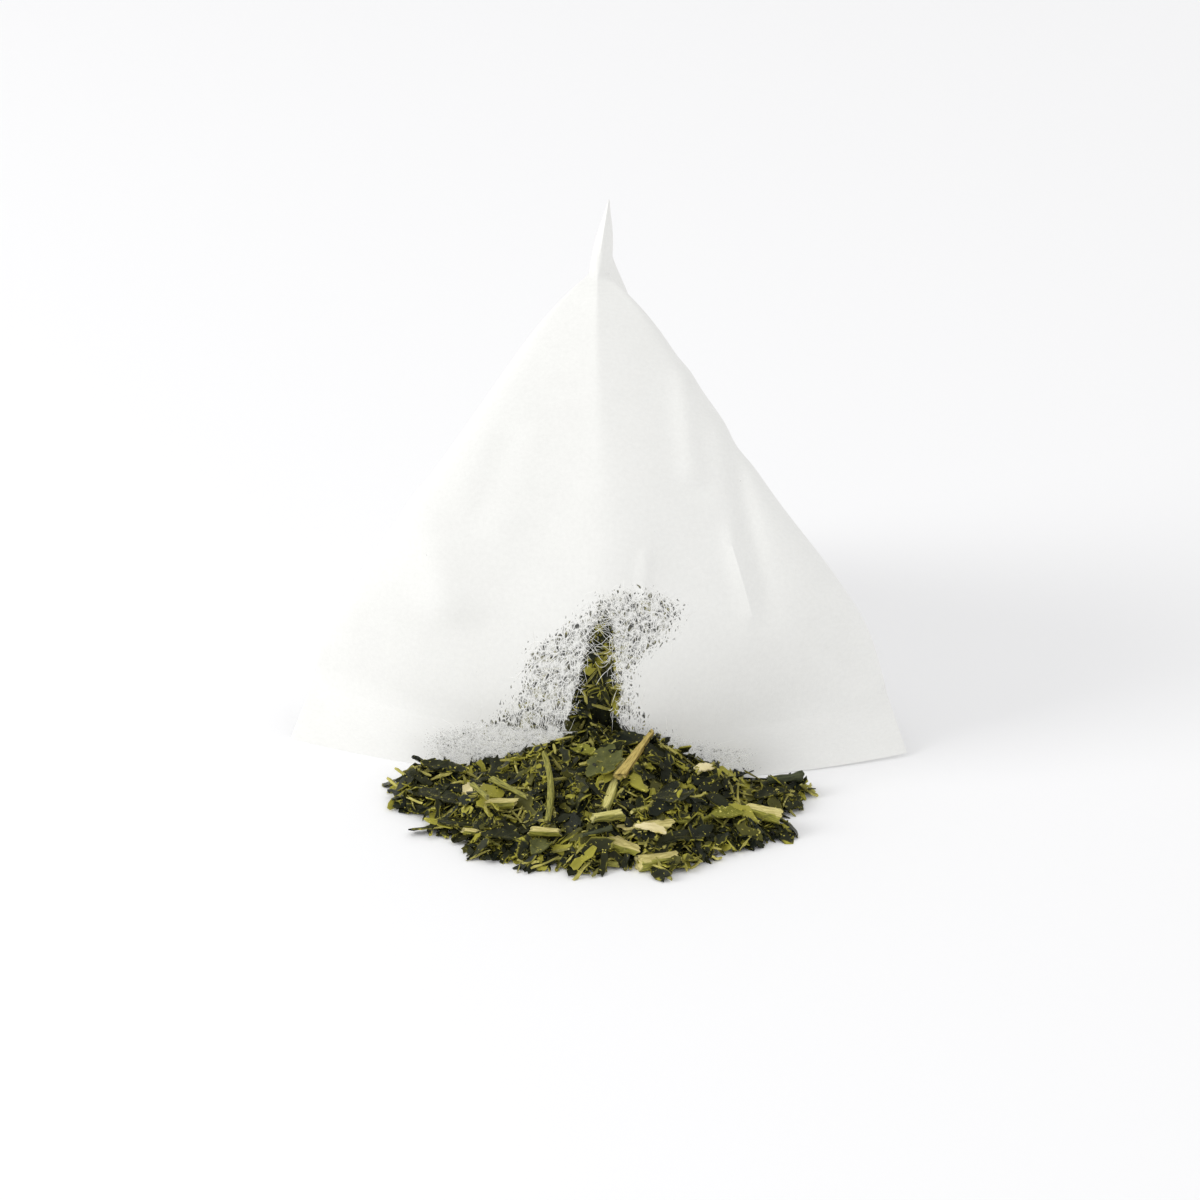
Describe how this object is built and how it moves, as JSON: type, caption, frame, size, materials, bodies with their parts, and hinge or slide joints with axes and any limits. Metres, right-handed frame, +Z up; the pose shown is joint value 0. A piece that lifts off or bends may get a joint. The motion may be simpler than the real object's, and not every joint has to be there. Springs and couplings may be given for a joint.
{
  "type": "pyramid tea bag, torn open",
  "caption": "Unprinted white pyramid tea bag, torn open at the front, with a spilled heap of cut green tea, stems and leaf.",
  "frame": {"origin": "on the surface the bag rests on, in the middle of the flat of its base", "axes": "+Z up, -Y towards the torn front, +X to the right of someone facing that front"},
  "size_m": [0.062, 0.0732, 0.0546],
  "materials": {
    "sheet": "matte white nonwoven of fine fibres",
    "tea": "fine cut dried green tea",
    "leaf": "dried green tea leaf, dark green with olive edges",
    "stalk": "dried yellow-green tea stalk",
    "wood": "pale cut tea stem, woody core showing at the ends"
  },
  "bodies": {
    "root": {"bag_sheet": "sheet", "tea_bed": "tea", "leaf_big_olive": "leaf", "leaf_front_cup": "leaf", "leaf_front_dark": "leaf", "leaf_front_left_curled": "leaf", "leaf_front_plank": "wood", "leaf_left_curled": "leaf", "leaf_left_flat": "leaf", "leaf_left_pale": "wood", "leaf_left_sliver": "leaf", "leaf_left_tipped": "leaf", "leaf_middle_folded": "leaf", "leaf_right_chip": "wood", "leaf_right_curled": "leaf", "leaf_right_flat": "leaf", "leaf_right_yellow": "leaf", "stem_brown": "stalk", "stem_cut_stub": "wood", "stem_front_crossing": "stalk", "stem_front_stub": "wood", "stem_front_twig": "stalk", "stem_left_needle": "stalk", "stem_left_pale": "wood", "stem_left_thin": "stalk", "stem_left_yellow": "stalk", "stem_long_thin": "stalk", "stem_middle_stub": "wood", "stem_pointed_stub": "wood", "stem_right_curved": "stalk", "stem_right_flared": "stalk", "stem_right_hollow": "wood", "stem_right_twig": "stalk", "stem_short_stub": "stalk", "stem_spotted": "stalk"}
  },
  "joints": []
}
